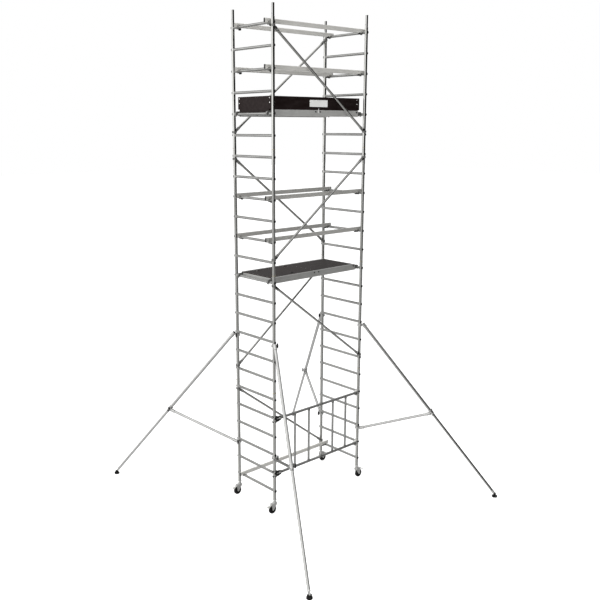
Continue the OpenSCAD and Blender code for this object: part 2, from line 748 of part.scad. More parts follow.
FL = [-1, -1];
FR = [1, -1];
RL = [-1, 1];
RR = [1, 1];

ladder_frames(1);  // ladder_frames_1
ladder_frames(2);  // ladder_frames_2
ladder_frames(3);  // ladder_frames_3
ladder_frames(4);  // ladder_frames_4
frame_spigots();
locking_clips();
gate_left_leaf();
gate_right_leaf();
gate_post_hinges();
guard_rails();
rail_end_caps();
diagonal_braces();
hook_claws();
deck_frame(MIDDLE_RUNG);  // middle_deck_frame
deck_board(MIDDLE_RUNG);  // middle_deck_board
deck_hatch(MIDDLE_RUNG);  // middle_deck_hatch
deck_frame(UPPER_RUNG);  // upper_deck_frame
deck_board(UPPER_RUNG);  // upper_deck_board
deck_hatch(UPPER_RUNG);  // upper_deck_hatch
deck_fittings();
toe_boards();
toe_board_fittings();
castor_stems();
castor_fork(FL);  // castor_fl_fork
castor_wheel(FL);  // castor_fl_wheel
castor_brake(FL);  // castor_fl_brake
castor_fork(FR);  // castor_fr_fork
castor_wheel(FR);  // castor_fr_wheel
castor_brake(FR);  // castor_fr_brake
castor_fork(RL);  // castor_rl_fork
castor_wheel(RL);  // castor_rl_wheel
castor_brake(RL);  // castor_rl_brake
castor_fork(RR);  // castor_rr_fork
castor_wheel(RR);  // castor_rr_wheel
castor_brake(RR);  // castor_rr_brake
outrigger_frame(FL);  // outrigger_fl_frame
outrigger_lower_leg(FL);  // outrigger_fl_lower_leg
outrigger_foot(FL);  // outrigger_fl_foot
top_knob(FL);  // outrigger_fl_top_knob
low_knob(FL);  // outrigger_fl_low_knob
collar_knob(FL);  // outrigger_fl_collar_knob
outrigger_frame(FR);  // outrigger_fr_frame
outrigger_lower_leg(FR);  // outrigger_fr_lower_leg
outrigger_foot(FR);  // outrigger_fr_foot
top_knob(FR);  // outrigger_fr_top_knob
low_knob(FR);  // outrigger_fr_low_knob
collar_knob(FR);  // outrigger_fr_collar_knob
outrigger_frame(RL);  // outrigger_rl_frame
outrigger_lower_leg(RL);  // outrigger_rl_lower_leg
outrigger_foot(RL);  // outrigger_rl_foot
top_knob(RL);  // outrigger_rl_top_knob
low_knob(RL);  // outrigger_rl_low_knob
collar_knob(RL);  // outrigger_rl_collar_knob
outrigger_frame(RR);  // outrigger_rr_frame
outrigger_lower_leg(RR);  // outrigger_rr_lower_leg
outrigger_foot(RR);  // outrigger_rr_foot
top_knob(RR);  // outrigger_rr_top_knob
low_knob(RR);  // outrigger_rr_low_knob
collar_knob(RR);  // outrigger_rr_collar_knob
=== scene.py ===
import json
import math
import random

import bmesh
import bpy
from mathutils import Matrix, Vector


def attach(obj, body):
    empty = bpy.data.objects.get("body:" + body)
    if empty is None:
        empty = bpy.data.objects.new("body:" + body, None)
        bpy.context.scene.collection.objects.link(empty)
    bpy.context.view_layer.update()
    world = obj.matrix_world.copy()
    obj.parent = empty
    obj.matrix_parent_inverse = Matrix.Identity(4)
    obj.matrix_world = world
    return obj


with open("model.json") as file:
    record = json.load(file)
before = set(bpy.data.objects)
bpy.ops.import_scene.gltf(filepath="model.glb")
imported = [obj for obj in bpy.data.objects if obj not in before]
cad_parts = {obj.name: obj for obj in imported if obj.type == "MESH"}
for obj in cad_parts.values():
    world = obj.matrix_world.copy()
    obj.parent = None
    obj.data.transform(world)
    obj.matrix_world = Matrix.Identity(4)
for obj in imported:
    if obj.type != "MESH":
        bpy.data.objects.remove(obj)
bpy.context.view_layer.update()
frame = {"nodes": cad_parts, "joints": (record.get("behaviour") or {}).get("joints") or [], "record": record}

# A mobile tower scaffold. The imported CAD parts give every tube, deck and clamp its place and
# keep their meshes; this script gives them their materials and adds the finer pieces: the
# anti-slip ribs, weld beads, end plugs, claw triggers, castor details and deck surfaces.
# Metres, Z up, origin on the floor under the middle of the tower.

NODES = frame["nodes"]
JOINTS = {j["name"]: j for j in frame["joints"]}
CORNERS = {"fl": (-1, -1), "fr": (1, -1), "rl": (-1, 1), "rr": (1, 1)}

# Sizes of the CAD frame that the added pieces follow
HALF_L = 0.871
HALF_W = 0.408
STANDARD_R = 0.0225
RUNG_R = 0.0175
RUNG_PITCH = 0.28
FIRST_RUNG_Z = 0.338
DECK_Y = 0.013
DECK_HALF_W = 0.338
DECK_HALF_L = 0.821
DECK_TOP = 0.050
BEAM_LOW = -0.033
BEAM_TOP = 0.052
JOINT_ABOVE = 0.065
BRACE_END = 0.040
RAIL_Y = 0.315
RAIL_LOW = -0.005
RAIL_H = 0.057
RAIL_T = 0.025
DECKS = {"middle": 12, "upper": 20}
GATE_MID_X = (-HALF_L + 0.114 + HALF_L) / 2
GATE_Z = (0.602, 1.442)
UPRIGHT_X = (0.251, 0.531)
UPRIGHT_R = 0.015
ANKLE_Z = 0.045
LEG_TOP = Vector((0.070, 0, 2.530))
LEG_FOOT = Vector((2.150, 0, ANKLE_Z))
LEG_WAY = (LEG_FOOT - LEG_TOP).normalized()
LEG_L = (LEG_FOOT - LEG_TOP).length
COLLAR_AT = 0.515 * LEG_L
COLLAR = LEG_TOP + LEG_WAY * COLLAR_AT
UPPER_END = COLLAR_AT + 0.062
LOWER_END = LEG_L - 0.042
STRUT_ROOT = Vector((0.060, 0, 0.855))
STRUT_HEAD = Vector((COLLAR.x, 0, COLLAR.z - 0.024))
STRUT_WAY = (STRUT_HEAD - STRUT_ROOT).normalized()
STRUT_L = (STRUT_HEAD - STRUT_ROOT).length - 0.044
LEG_R = 0.0215
LOWER_LEG_R = 0.019
STRUT_R = 0.019
CLAMP_R = 0.0345
RAILS = ((24, -1), (24, 1), (22, -1), (22, 1), (16, -1), (16, 1), (14, -1), (14, 1), (1, 1))


def rung_z(number):
    return FIRST_RUNG_Z + (number - 1) * RUNG_PITCH


# ---------------------------------------------------------------- materials

class Nodes:
    """A short way to write a material's node tree."""

    def __init__(self, name):
        self.mat = bpy.data.materials.new(name)
        self.mat.use_nodes = True
        self.tree = self.mat.node_tree
        self.bsdf = self.tree.nodes["Principled BSDF"]
        self.coord = self.tree.nodes.new("ShaderNodeTexCoord").outputs["Object"]

    def link(self, a, b):
        self.tree.links.new(a, b)

    def new(self, kind, **values):
        node = self.tree.nodes.new(kind)
        for key, value in values.items():
            if key in node.inputs:
                node.inputs[key].default_value = value
            else:
                setattr(node, key, value)
        return node

    def stretched(self, scale, turn=(0, 0, 0)):
        """The object's coordinates, scaled by a different amount along each axis."""
        mapping = self.new("ShaderNodeMapping")
        mapping.inputs["Scale"].default_value = scale
        mapping.inputs["Rotation"].default_value = turn
        self.link(self.coord, mapping.inputs["Vector"])
        return mapping.outputs["Vector"]

    def noise(self, vector, scale, detail=4.0, rough=0.6):
        node = self.new("ShaderNodeTexNoise", Scale=scale, Detail=detail, Roughness=rough)
        self.link(vector, node.inputs["Vector"])
        return node.outputs["Fac"]

    def ramp(self, value, stops):
        """stops is a list of (position, grey or colour)."""
        node = self.new("ShaderNodeValToRGB")
        ramp = node.color_ramp
        while len(ramp.elements) < len(stops):
            ramp.elements.new(0.5)
        for element, (position, colour) in zip(ramp.elements, stops):
            element.position = position
            grey = isinstance(colour, (int, float))
            element.color = (colour, colour, colour, 1) if grey else (*colour, 1)
        self.link(value, node.inputs["Fac"])
        return node.outputs["Color"]

    def range(self, value, low, high):
        node = self.new("ShaderNodeMapRange")
        node.inputs["To Min"].default_value = low
        node.inputs["To Max"].default_value = high
        self.link(value, node.inputs["Value"])
        return node.outputs["Result"]

    def math(self, operation, a, b=0.5):
        node = self.new("ShaderNodeMath", operation=operation)
        for slot, value in ((0, a), (1, b)):
            if isinstance(value, (int, float)):
                node.inputs[slot].default_value = value
            else:
                self.link(value, node.inputs[slot])
        return node.outputs["Value"]

    def mix(self, factor, a, b):
        node = self.new("ShaderNodeMix", data_type="RGBA")
        for slot, value in ((0, factor), (6, a), (7, b)):
            if isinstance(value, (int, float)):
                node.inputs[slot].default_value = value
            elif isinstance(value, tuple):
                node.inputs[slot].default_value = (*value, 1)
            else:
                self.link(value, node.inputs[slot])
        return node.outputs[2]

    def bump(self, height, strength, distance):
        node = self.new("ShaderNodeBump", Strength=strength, Distance=distance)
        self.link(height, node.inputs["Height"])
        self.link(node.outputs["Normal"], self.bsdf.inputs["Normal"])

    def set(self, **values):
        for key, value in values.items():
            socket = self.bsdf.inputs[key.replace("_", " ")]
            if isinstance(value, (int, float)):
                socket.default_value = value
            elif isinstance(value, tuple):
                socket.default_value = (*value, 1)
            else:
                self.link(value, socket)
        return self.mat


def edge_wear(m, width=0.0015):
    """1 on convex edges and 0 elsewhere, from the bevelled and the plain normal."""
    bevel = m.new("ShaderNodeBevel", Radius=width)
    geometry = m.new("ShaderNodeNewGeometry")
    dot = m.new("ShaderNodeVectorMath", operation="DOT_PRODUCT")
    m.link(bevel.outputs["Normal"], dot.inputs[0])
    m.link(geometry.outputs["Normal"], dot.inputs[1])
    return m.ramp(dot.outputs["Value"], [(0.90, 1.0), (0.995, 0.0)])


def metal(name, dark, light, rough=(0.20, 0.36), grain=(60, 60, 4), metallic=1.0, wear=0.25,
          lower=0.0):
    """Drawn or extruded metal: fine lengthwise grain, cloudy oxide patches and scuffed edges.

    lower darkens the parts in the middle of the tower, which stand in its own shade.
    """
    m = Nodes(name)
    clouds = m.noise(m.coord, 6.0)
    streaks = m.noise(m.stretched(grain), 9.0, 6.0)
    specks = m.noise(m.coord, 260.0, 2.0)
    body = m.mix(m.ramp(clouds, [(0.30, 0.0), (0.70, 1.0)]), dark, light)
    body = m.mix(m.range(streaks, 0.0, 0.30), body, tuple(v * 0.72 for v in dark))
    worn = m.math("MULTIPLY", edge_wear(m), wear)
    body = m.mix(worn, body, (0.92, 0.92, 0.91))
    if lower:
        height = m.new("ShaderNodeSeparateXYZ")
        m.link(m.coord, height.inputs["Vector"])
        share = m.math("MULTIPLY", m.math("LESS_THAN", height.outputs["Z"], SHADE_TOP),
                       m.math("GREATER_THAN", height.outputs["Z"], SHADE_LOW))
        body = m.mix(m.math("MULTIPLY", share, lower), body, tuple(v * 0.25 for v in dark))
    shine = m.math("ADD", m.range(streaks, rough[0], rough[1]), m.math("MULTIPLY", specks, 0.06))
    height = m.math("ADD", m.math("MULTIPLY", streaks, 0.6), m.math("MULTIPLY", specks, 0.25))
    m.bump(height, 0.12, 0.0006)
    return m.set(Base_Color=body, Metallic=metallic, Roughness=shine)


def cast_metal(name, dark, light, rough=(0.4, 0.6)):
    """Dull cast or forged metal with a sandy skin and bright rubbed edges."""
    m = Nodes(name)
    clouds = m.noise(m.coord, 30.0)
    sand = m.noise(m.coord, 900.0, 3.0, 0.7)
    body = m.mix(clouds, dark, light)
    body = m.mix(m.math("MULTIPLY", edge_wear(m, 0.001), 0.45), body, (0.6, 0.6, 0.58))
    m.bump(sand, 0.35, 0.0005)
    return m.set(Base_Color=body, Metallic=0.75, Roughness=m.range(sand, *rough))


def plastic(name, colour, rough=(0.38, 0.55), grain=700.0):
    """Moulded plastic: a fine spark-eroded grain and slightly greyed edges."""
    m = Nodes(name)
    grain_height = m.noise(m.coord, grain, 2.0, 0.5)
    dust = m.noise(m.coord, 14.0)
    greyer = tuple(min(1.0, v * 1.6 + 0.025) for v in colour)
    body = m.mix(m.ramp(dust, [(0.45, 0.0), (0.75, 0.6)]), colour, greyer)
    body = m.mix(m.math("MULTIPLY", edge_wear(m, 0.0012), 0.4), body, greyer)
    m.bump(grain_height, 0.25, 0.0003)
    return m.set(Base_Color=body, Metallic=0.0, Roughness=m.range(grain_height, *rough),
                 Specular_IOR_Level=0.25)


def rubber(name, colour):
    m = Nodes(name)
    scuff = m.noise(m.stretched((1, 1, 1)), 40.0, 6.0, 0.7)
    fine = m.noise(m.coord, 1200.0, 2.0)
    body = m.mix(m.ramp(scuff, [(0.5, 0.0), (0.8, 0.5)]), colour, (0.10, 0.10, 0.095))
    m.bump(fine, 0.4, 0.0004)
    return m.set(Base_Color=body, Metallic=0.0, Roughness=m.range(scuff, 0.62, 0.85),
                 Specular_IOR_Level=0.2)


def film_faced_board(name, colour, edge_colour, mesh_pitch=0.0):
    """Phenolic film over plywood: an anti-slip net on the upper face and scuffed veneer edges."""
    m = Nodes(name)
    wear_map = m.noise(m.stretched((1.2, 4, 4)), 5.0, 6.0, 0.65)
    body = m.mix(m.ramp(wear_map, [(0.42, 0.0), (0.78, 0.45)]), colour,
                 tuple(min(1.0, v * 1.8 + 0.02) for v in colour))
    body = m.mix(m.math("MULTIPLY", edge_wear(m, 0.002), 0.6), body, edge_colour)
    fine = m.noise(m.coord, 420.0, 2.0)
    height = fine
    if mesh_pitch:
        pitch = 1.0 / mesh_pitch
        cells = m.new("ShaderNodeTexVoronoi", Scale=pitch)
        cells.feature = "DISTANCE_TO_EDGE"
        cells.inputs["Randomness"].default_value = 0.12
        m.link(m.coord, cells.inputs["Vector"])
        net = m.ramp(cells.outputs["Distance"], [(0.05, 0.0), (0.16, 1.0)])
        height = m.math("ADD", m.math("MULTIPLY", fine, 0.3), net)
        body = m.mix(m.math("MULTIPLY", net, 0.35), body, tuple(v * 0.55 for v in colour))
    m.bump(height, 0.35, 0.0008)
    return m.set(Base_Color=body, Metallic=0.0, Roughness=m.range(wear_map, 0.42, 0.68),
                 Specular_IOR_Level=0.16)


SHADE_LOW = 2.0
SHADE_TOP = 5.5
ALONG_X = (4, 60, 60)

MATERIALS = {
    "aluminium_tube": metal("aluminium_tube", (0.50, 0.50, 0.48), (0.62, 0.62, 0.60), (0.07, 0.14)),
    "rung_tube": metal("rung_tube", (0.43, 0.43, 0.415), (0.54, 0.54, 0.525), (0.12, 0.22), wear=0.1),
    "bright_tube": metal("bright_tube", (0.50, 0.50, 0.49), (0.60, 0.60, 0.59), (0.08, 0.16)),
    # Dark oxide and painted shade for the bottoms of the flutes
    "rung_groove_oxide_and_shade": metal("rung_groove_oxide_and_shade", (0.13, 0.13, 0.127), (0.19, 0.19, 0.186), (0.35, 0.5),
                         metallic=0.8, wear=0.0),
    "rail_aluminium": metal("rail_aluminium", (0.82, 0.81, 0.77), (0.90, 0.89, 0.85),
                            (0.40, 0.55), ALONG_X, 0.45, 0.25, 0.48),
    "deck_aluminium": metal("deck_aluminium", (0.66, 0.66, 0.64), (0.76, 0.76, 0.74),
                            (0.36, 0.50), ALONG_X, 0.6, 0.25, 0.45),
    "grey_tube": metal("grey_tube", (0.50, 0.50, 0.49), (0.60, 0.60, 0.59), (0.08, 0.16)),
    "zinc_plate": metal("zinc_plate", (0.56, 0.56, 0.545), (0.70, 0.70, 0.685), (0.25, 0.45),
                        (20, 20, 20), 0.75),
    "zinc_yellow": metal("zinc_yellow", (0.40, 0.33, 0.16), (0.58, 0.49, 0.27), (0.25, 0.4),
                         (20, 20, 20)),
    "cast_claw": cast_metal("cast_claw", (0.15, 0.15, 0.145), (0.27, 0.27, 0.26)),
    "pedal_paint": metal("pedal_paint", (0.56, 0.56, 0.54), (0.70, 0.70, 0.68), (0.3, 0.5),
                         (20, 20, 20), 0.7),
    "black_plastic": plastic("black_plastic", (0.007, 0.007, 0.007)),
    "white_fittings": plastic("white_fittings", (0.78, 0.78, 0.76), (0.3, 0.45)),
    "black_rubber": rubber("black_rubber", (0.008, 0.008, 0.008)),
    "dark_plywood": film_faced_board("dark_plywood", (0.022, 0.017, 0.016), (0.12, 0.08, 0.05), 0.009),
    "toe_board_plywood": film_faced_board("toe_board_plywood", (0.0075, 0.0036, 0.0032),
                                          (0.05, 0.03, 0.024)),
}

SLOT_OF = {s["node"]: s["material_slot"] for s in frame["record"]["subparts"]}


def paint(obj, slot):
    """Gives a piece one material, in every slot that it has."""
    obj.data.materials.clear()
    obj.data.materials.append(MATERIALS[slot])


def paint_part(obj, slot, wanted):
    """Gives the faces whose middle is wanted a further material."""
    obj.data.materials.append(MATERIALS[slot])
    for polygon in obj.data.polygons:
        if wanted(obj.matrix_world @ polygon.center):
            polygon.material_index = len(obj.data.materials) - 1


def on_gate_tube(p, low_x, high_x):
    """Whether a point lies on a gate leaf's rails or uprights."""
    near_rail = min(abs(p.z - z) for z in GATE_Z) < RUNG_R + 0.001
    return low_x < p.x < high_x and (abs(p.y + HALF_W) < RUNG_R + 0.001 or near_rail)


def outrigger_frame(key):
    """The matrix of an outrigger's own frame: Z up its standard and X below its leg."""
    sx, sy = CORNERS[key]
    azimuth = math.atan2(sy * math.sin(math.pi / 3), sx * math.cos(math.pi / 3))
    return (Matrix.Translation((sx * HALF_L, sy * HALF_W, 0)) @ Matrix.Rotation(azimuth, 4, "Z"))


for node_name, node_object in NODES.items():
    paint(node_object, SLOT_OF[node_name])

# The deck bolts are black beside their plated hooks and hinges, and the gate's saddles are plated
bpy.context.view_layer.update()
paint_part(NODES["deck_fittings"], "black_plastic",
           lambda p: abs(p.y - DECK_Y) > DECK_HALF_W and abs(p.x) < HALF_L - 0.052)
paint_part(NODES["gate_right_leaf"], "zinc_plate", lambda p: p.x > HALF_L - 0.06)
# The bottoms of the flutes are dark and dull between the raised tops: partly dark oxide, partly painted
# shade in the grooves, on the rungs and on the gate's rails and uprights
for node_number in range(1, 5):
    paint_part(NODES["ladder_frames_%d" % node_number], "rung_groove_oxide_and_shade",
               lambda p: abs(p.y) < HALF_W - STANDARD_R - 0.004)
paint_part(NODES["gate_left_leaf"], "rung_groove_oxide_and_shade", lambda p: on_gate_tube(p, -0.7, -0.05))
paint_part(NODES["gate_right_leaf"], "rung_groove_oxide_and_shade", lambda p: on_gate_tube(p, 0.1, 0.76))

# ---------------------------------------------------------------- mesh building

class Build:
    """Collects swept, turned and extruded shapes into one mesh piece."""

    def __init__(self):
        self.verts = []
        self.faces = []

    def add(self, verts, faces, matrix=None):
        start = len(self.verts)
        matrix = matrix or Matrix.Identity(4)
        self.verts += [matrix @ Vector(v) for v in verts]
        self.faces += [tuple(start + i for i in face) for face in faces]

    def loft(self, rings, closed_ends=True, matrix=None, cyclic=False):
        """Joins rings of equally many points; the first and last are capped or joined."""
        count = len(rings[0])
        verts = [v for ring in rings for v in ring]
        faces = []
        last = len(rings) if cyclic else len(rings) - 1
        for i in range(last):
            a, b = i * count, ((i + 1) % len(rings)) * count
            for j in range(count):
                k = (j + 1) % count
                faces.append((a + j, a + k, b + k, b + j))
        if closed_ends and not cyclic:
            faces.append(tuple(reversed(range(count))))
            faces.append(tuple(range(last * count, last * count + count)))
        self.add(verts, faces, matrix)

    def turned(self, profile, matrix=None, segments=24):
        """A profile of (radius, height) points, turned about Z. It starts and ends near the axis."""
        rings = []
        for radius, z in profile:
            rings.append([(radius * math.cos(t), radius * math.sin(t), z)
                          for t in (2 * math.pi * i / segments for i in range(segments))])
        self.loft(rings, True, matrix)

    def extruded(self, outline, low_z, high_z, matrix=None, bevel=0.0):
        """An outline of (x, y) points pushed from low_z to high_z, with its rims drawn in."""
        centre = Vector((sum(p[0] for p in outline), sum(p[1] for p in outline))) / len(outline)

        def ring(z, inset):
            out = []
            for x, y in outline:
                v = Vector((x, y)) - centre
                v = v * max(0.0, 1 - inset / max(v.length, 1e-9)) + centre
                out.append((v.x, v.y, z))
            return out

        if bevel:
            rings = [ring(low_z, bevel), ring(low_z + bevel, 0), ring(high_z - bevel, 0),
                     ring(high_z, bevel)]
        else:
            rings = [ring(low_z, 0), ring(high_z, 0)]
        self.loft(rings, True, matrix)

    def piece(self, name, slot, body, smooth_degrees=35):
        mesh = bpy.data.meshes.new(name)
        mesh.from_pydata([tuple(v) for v in self.verts], [], self.faces)
        work = bmesh.new()
        work.from_mesh(mesh)
        bmesh.ops.recalc_face_normals(work, faces=work.faces)
        work.to_mesh(mesh)
        work.free()
        obj = bpy.data.objects.new(name, mesh)
        bpy.context.collection.objects.link(obj)
        paint(obj, slot)
        for polygon in mesh.polygons:
            polygon.use_smooth = True
        mesh.set_sharp_from_angle(angle=math.radians(smooth_degrees))
        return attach(obj, body)


def place(position, z_axis=(0, 0, 1), x_axis=None):
    """A matrix that puts a shape's origin at position and its Z along z_axis."""
    z = Vector(z_axis).normalized()
    x = Vector(x_axis) if x_axis else (Vector((1, 0, 0)) if abs(z.x) < 0.9 else Vector((0, 1, 0)))
    x = (x - z * x.dot(z)).normalized()
    y = z.cross(x)
    basis = Matrix((x, y, z)).transposed().to_4x4()
    return Matrix.Translation(Vector(position)) @ basis


def flutes(build, start, end, radius, width, facing, count=6, height=0.0012):
    """Broad raised ribs along a tube from start to end, with a groove on its facing side."""
    start, end = Vector(start), Vector(end)
    matrix = place(start, end - start, facing)
    length = (end - start).length
    for i in range(count):
        t = 2 * math.pi * (i + 0.5) / count
        rings = []
        for z in (0.0, length):
            ring = []
            for share, rise in ((-0.5, -0.0006), (-0.42, height * 0.8), (-0.2, height), (0.0, height),
                                (0.2, height), (0.42, height * 0.8), (0.5, -0.0006)):
                a = t + share * width / radius
                ring.append(Vector(((radius + rise) * math.cos(a), (radius + rise) * math.sin(a), z)))
            rings.append(ring)
        build.loft(rings, True, matrix)


# ---------------------------------------------------------------- ladder frames

FLUTE_W = 0.0112
WELD_R = 0.0028


def weld_bead(build, x, y, z, toward, rng):
    """A fillet bead round the joint of a rung and a standard, with the ripple of a hand weld."""
    steps, around = 36, 6
    rings = []
    for i in range(steps):
        t = 2 * math.pi * i / steps
        rx, rz = RUNG_R * math.cos(t), RUNG_R * math.sin(t)
        ry = math.sqrt(STANDARD_R ** 2 - rx ** 2)
        middle = Vector((x + rx, y + toward * ry, z + rz))
        out = Vector((math.cos(t), 0, math.sin(t)))
        inward = Vector((0, toward, 0))
        r = WELD_R * (1 + 0.16 * math.sin(9 * t) + rng.uniform(-0.06, 0.06))
        rings.append([middle + out * (r * math.cos(a)) + inward * (r * math.sin(a))
                      for a in (2 * math.pi * k / around for k in range(around))])
    build.loft(rings, False, None, True)


def ladder_details():
    rng = random.Random(4)
    for level in range(1, 5):
        for side, side_name in ((-1, "left"), (1, "right")):
            ribs, welds, plugs = Build(), Build(), Build()
            x = side * HALF_L
            reach = HALF_W - STANDARD_R - 0.002
            for number in range(6 * level - 5, 6 * level + 1):
                z = rung_z(number)
                flutes(ribs, (x, -reach, z), (x, reach, z), RUNG_R, FLUTE_W, (-1, 0, 0.58))
                for end in (-1, 1):
                    weld_bead(welds, x, end * HALF_W, z, -end, rng)
                    face = place((x, end * (HALF_W + STANDARD_R + 0.0021), z), (0, end, 0))
                    plugs.turned([(0.001, -0.002), (RUNG_R - 0.0026, -0.002), (RUNG_R + 0.0012, 0),
                                  (RUNG_R + 0.0012, 0.0018), (RUNG_R - 0.001, 0.0034),
                                  (0.008, 0.0040), (0.0065, 0.0028), (0.001, 0.0028)], face, 28)
            ribs.piece("rung_flutes_%s_%d" % (side_name, level), "rung_tube", "tower")
            welds.piece("rung_welds_%s_%d" % (side_name, level), "zinc_plate", "tower", 60)
            plugs.piece("rung_plugs_%s_%d" % (side_name, level), "black_plastic", "tower")


ladder_details()

# ---------------------------------------------------------------- small hardware

def hexagon(radius, turn=0.0):
    return [(radius * math.cos(turn + math.pi * i / 3), radius * math.sin(turn + math.pi * i / 3))
            for i in range(6)]


def rounded_outline(width, height, radius, steps=4):
    """Points round a rectangle with rounded corners, centred on the origin."""
    points = []
    for quarter, (sx, sy) in enumerate(((1, 1), (-1, 1), (-1, -1), (1, -1))):
        cx, cy = sx * (width / 2 - radius), sy * (height / 2 - radius)
        for i in range(steps + 1):
            t = math.pi / 2 * (quarter + i / steps)
            points.append((cx + radius * math.cos(t), cy + radius * math.sin(t)))
    return points


def bolt(build, position, axis, radius=0.008, height=0.006, turn=0.2):
    """A hexagon head on a washer, with a chamfered crown."""
    at = place(position, axis)
    build.turned([(0.001, 0), (radius * 1.35, 0), (radius * 1.4, 0.0006), (radius * 1.3, 0.0016),
                  (0.001, 0.0016)], at, 20)
    crown = at @ Matrix.Translation((0, 0, 0.0015))
    build.extruded(hexagon(radius, turn), 0, height, crown, 0.0008)
    build.turned([(0.001, height - 0.0006), (radius * 0.55, height - 0.0006),
                  (radius * 0.45, height + 0.0008), (0.001, height + 0.0008)], crown, 16)


def rivet(build, position, axis, radius=0.004, height=0.0022):
    """A domed rivet head."""
    build.turned([(radius * 0.02, -0.0008), (radius * 1.02, -0.0008), (radius, height * 0.25),
                  (radius * 0.8, height * 0.7), (radius * 0.45, height * 0.95), (radius * 0.02, height)],
                 place(position, axis), 14)


def band(build, position, axis, inner, outer, width, segments=28):
    """A bevelled ring round a tube."""
    edge = (outer - inner) * 0.35
    profile = [(inner, -width / 2), (outer - edge, -width / 2), (outer, -width / 2 + edge),
               (outer, width / 2 - edge), (outer - edge, width / 2), (inner, width / 2)]
    at = place(position, axis)
    rings = []
    for i in range(segments):
        t = 2 * math.pi * i / segments
        rings.append([(r * math.cos(t), r * math.sin(t), z) for r, z in profile])
    build.loft(rings, False, at, True)


def bar(build, start, end, width, height, across, inset=0.3):
    """A bar with drawn-in edges from start to end; across is the direction of its width."""
    start, end = Vector(start), Vector(end)
    at = place(start, end - start, across)
    w, h = width / 2, height / 2
    outline = [(-w, -h * inset), (-w * 0.8, h), (w * 0.8, h), (w, -h * inset), (w, -h), (-w, -h)]
    build.loft([[(x, y, z) for x, y in outline] for z in (0, (end - start).length)], True, at)


def joint_bands():
    """The swaged beads where one ladder frame meets the next."""
    beads = Build()
    for level in range(1, 5):
        z = rung_z(6 * level) + JOINT_ABOVE
        for sx, sy in CORNERS.values():
            band(beads, (sx * HALF_L, sy * HALF_W, z - 0.006), (0, 0, 1), STANDARD_R - 0.0004,
                 STANDARD_R + 0.0014, 0.009)
            if level < 4:
                band(beads, (sx * HALF_L, sy * HALF_W, z + 0.006), (0, 0, 1), STANDARD_R - 0.0004,
                     STANDARD_R + 0.0014, 0.009)
    beads.piece("joint_beads", "aluminium_tube", "tower")


# ---------------------------------------------------------------- rails and braces

def rail_details():
    """Rolled beads along the guard rails, rivets and spring triggers at their hooks."""
    beads, rivets, triggers = Build(), Build(), Build()
    for number, side in RAILS:
        y, z = side * RAIL_Y, rung_z(number) + RAIL_LOW
        for face in (-1, 1):
            for up in (0.009, RAIL_H - 0.009):
                at_y = y + face * (RAIL_T / 2 + 0.0002)
                bar(beads, (-0.927, at_y, z + up), (0.927, at_y, z + up), 0.005, 0.0016,
                    (0, 0, 1), -0.2)
            for end in (-1, 1):
                for x in (0.845, 0.897):
                    rivet(rivets, (end * x, y + face * RAIL_T / 2, z + RAIL_H / 2 + 0.006), (0, face, 0))
        for end in (-1, 1):
            root = Vector((end * (HALF_L - 0.040), y, z - 0.012))
            at = place(root, (0, 1, 0), (end, 0, 0))
            outline = [(-0.017, 0.006), (-0.020, -0.010), (-0.013, -0.021), (0.004, -0.023),
                       (0.012, -0.012), (0.012, 0.006)]
            triggers.extruded(outline, -0.0146, 0.0146, at, 0.0015)
            for face in (-1, 1):
                rivet(rivets, root + Vector((end * 0.002, face * 0.0146, 0.001)), (0, face, 0))
    beads.piece("rail_beads", "rail_aluminium", "tower")
    rivets.piece("rail_rivets", "zinc_plate", "tower")
    triggers.piece("rail_triggers", "black_plastic", "tower")


def brace_ends():
    """Yields each end of each diagonal brace: its claw's place, the way along the tube, its side."""
    for side, ends in ((-1, ((4, -1), (3, 1), (2, -1))), (1, ((4, 1), (3, -1), (2, 1), (1, -1)))):
        for level, high in ends:
            top = Vector((high * HALF_L, side * HALF_W, rung_z(6 * level) - BRACE_END))
            foot = Vector((-high * HALF_L, side * HALF_W, rung_z(6 * level - 5) + BRACE_END))
            way = (foot - top).normalized()
            yield top, way, side
            yield foot, -way, side


def brace_details():
    """Crimped sleeves, cross bolts and triggers on the claws of the diagonal braces."""
    sleeves, bolts, triggers = Build(), Build(), Build()
    for claw, way, side in brace_ends():
        band(sleeves, claw + way * 0.093, way, 0.0158, 0.0204, 0.010)
        band(sleeves, claw + way * 0.118, way, 0.0158, 0.0176, 0.006)
        for face in (-1, 1):
            bolt(bolts, claw + way * 0.072 + Vector((0, face * 0.0190, 0)), (0, face, 0), 0.0065, 0.005)
        out = Vector((0, side, 0))
        root = claw + way * 0.046 + out * 0.0205
        at = place(root, out, way)
        outline = [(-0.022, -0.008), (-0.014, -0.012), (0.016, -0.009), (0.022, 0.0),
                   (0.016, 0.009), (-0.014, 0.012), (-0.022, 0.008)]
        triggers.extruded(outline, -0.003, 0.008, at, 0.0016)
        for offset in (-0.014, -0.008, -0.002):
            bar(triggers, root + way * offset - Vector((0, 0, 0.007)) + out * 0.0086,
                root + way * offset + Vector((0, 0, 0.007)) + out * 0.0086, 0.0022, 0.0016, way)
    sleeves.piece("brace_sleeves", "cast_claw", "tower")
    bolts.piece("brace_bolts", "zinc_plate", "tower")
    triggers.piece("brace_triggers", "black_plastic", "tower")


# ---------------------------------------------------------------- decks

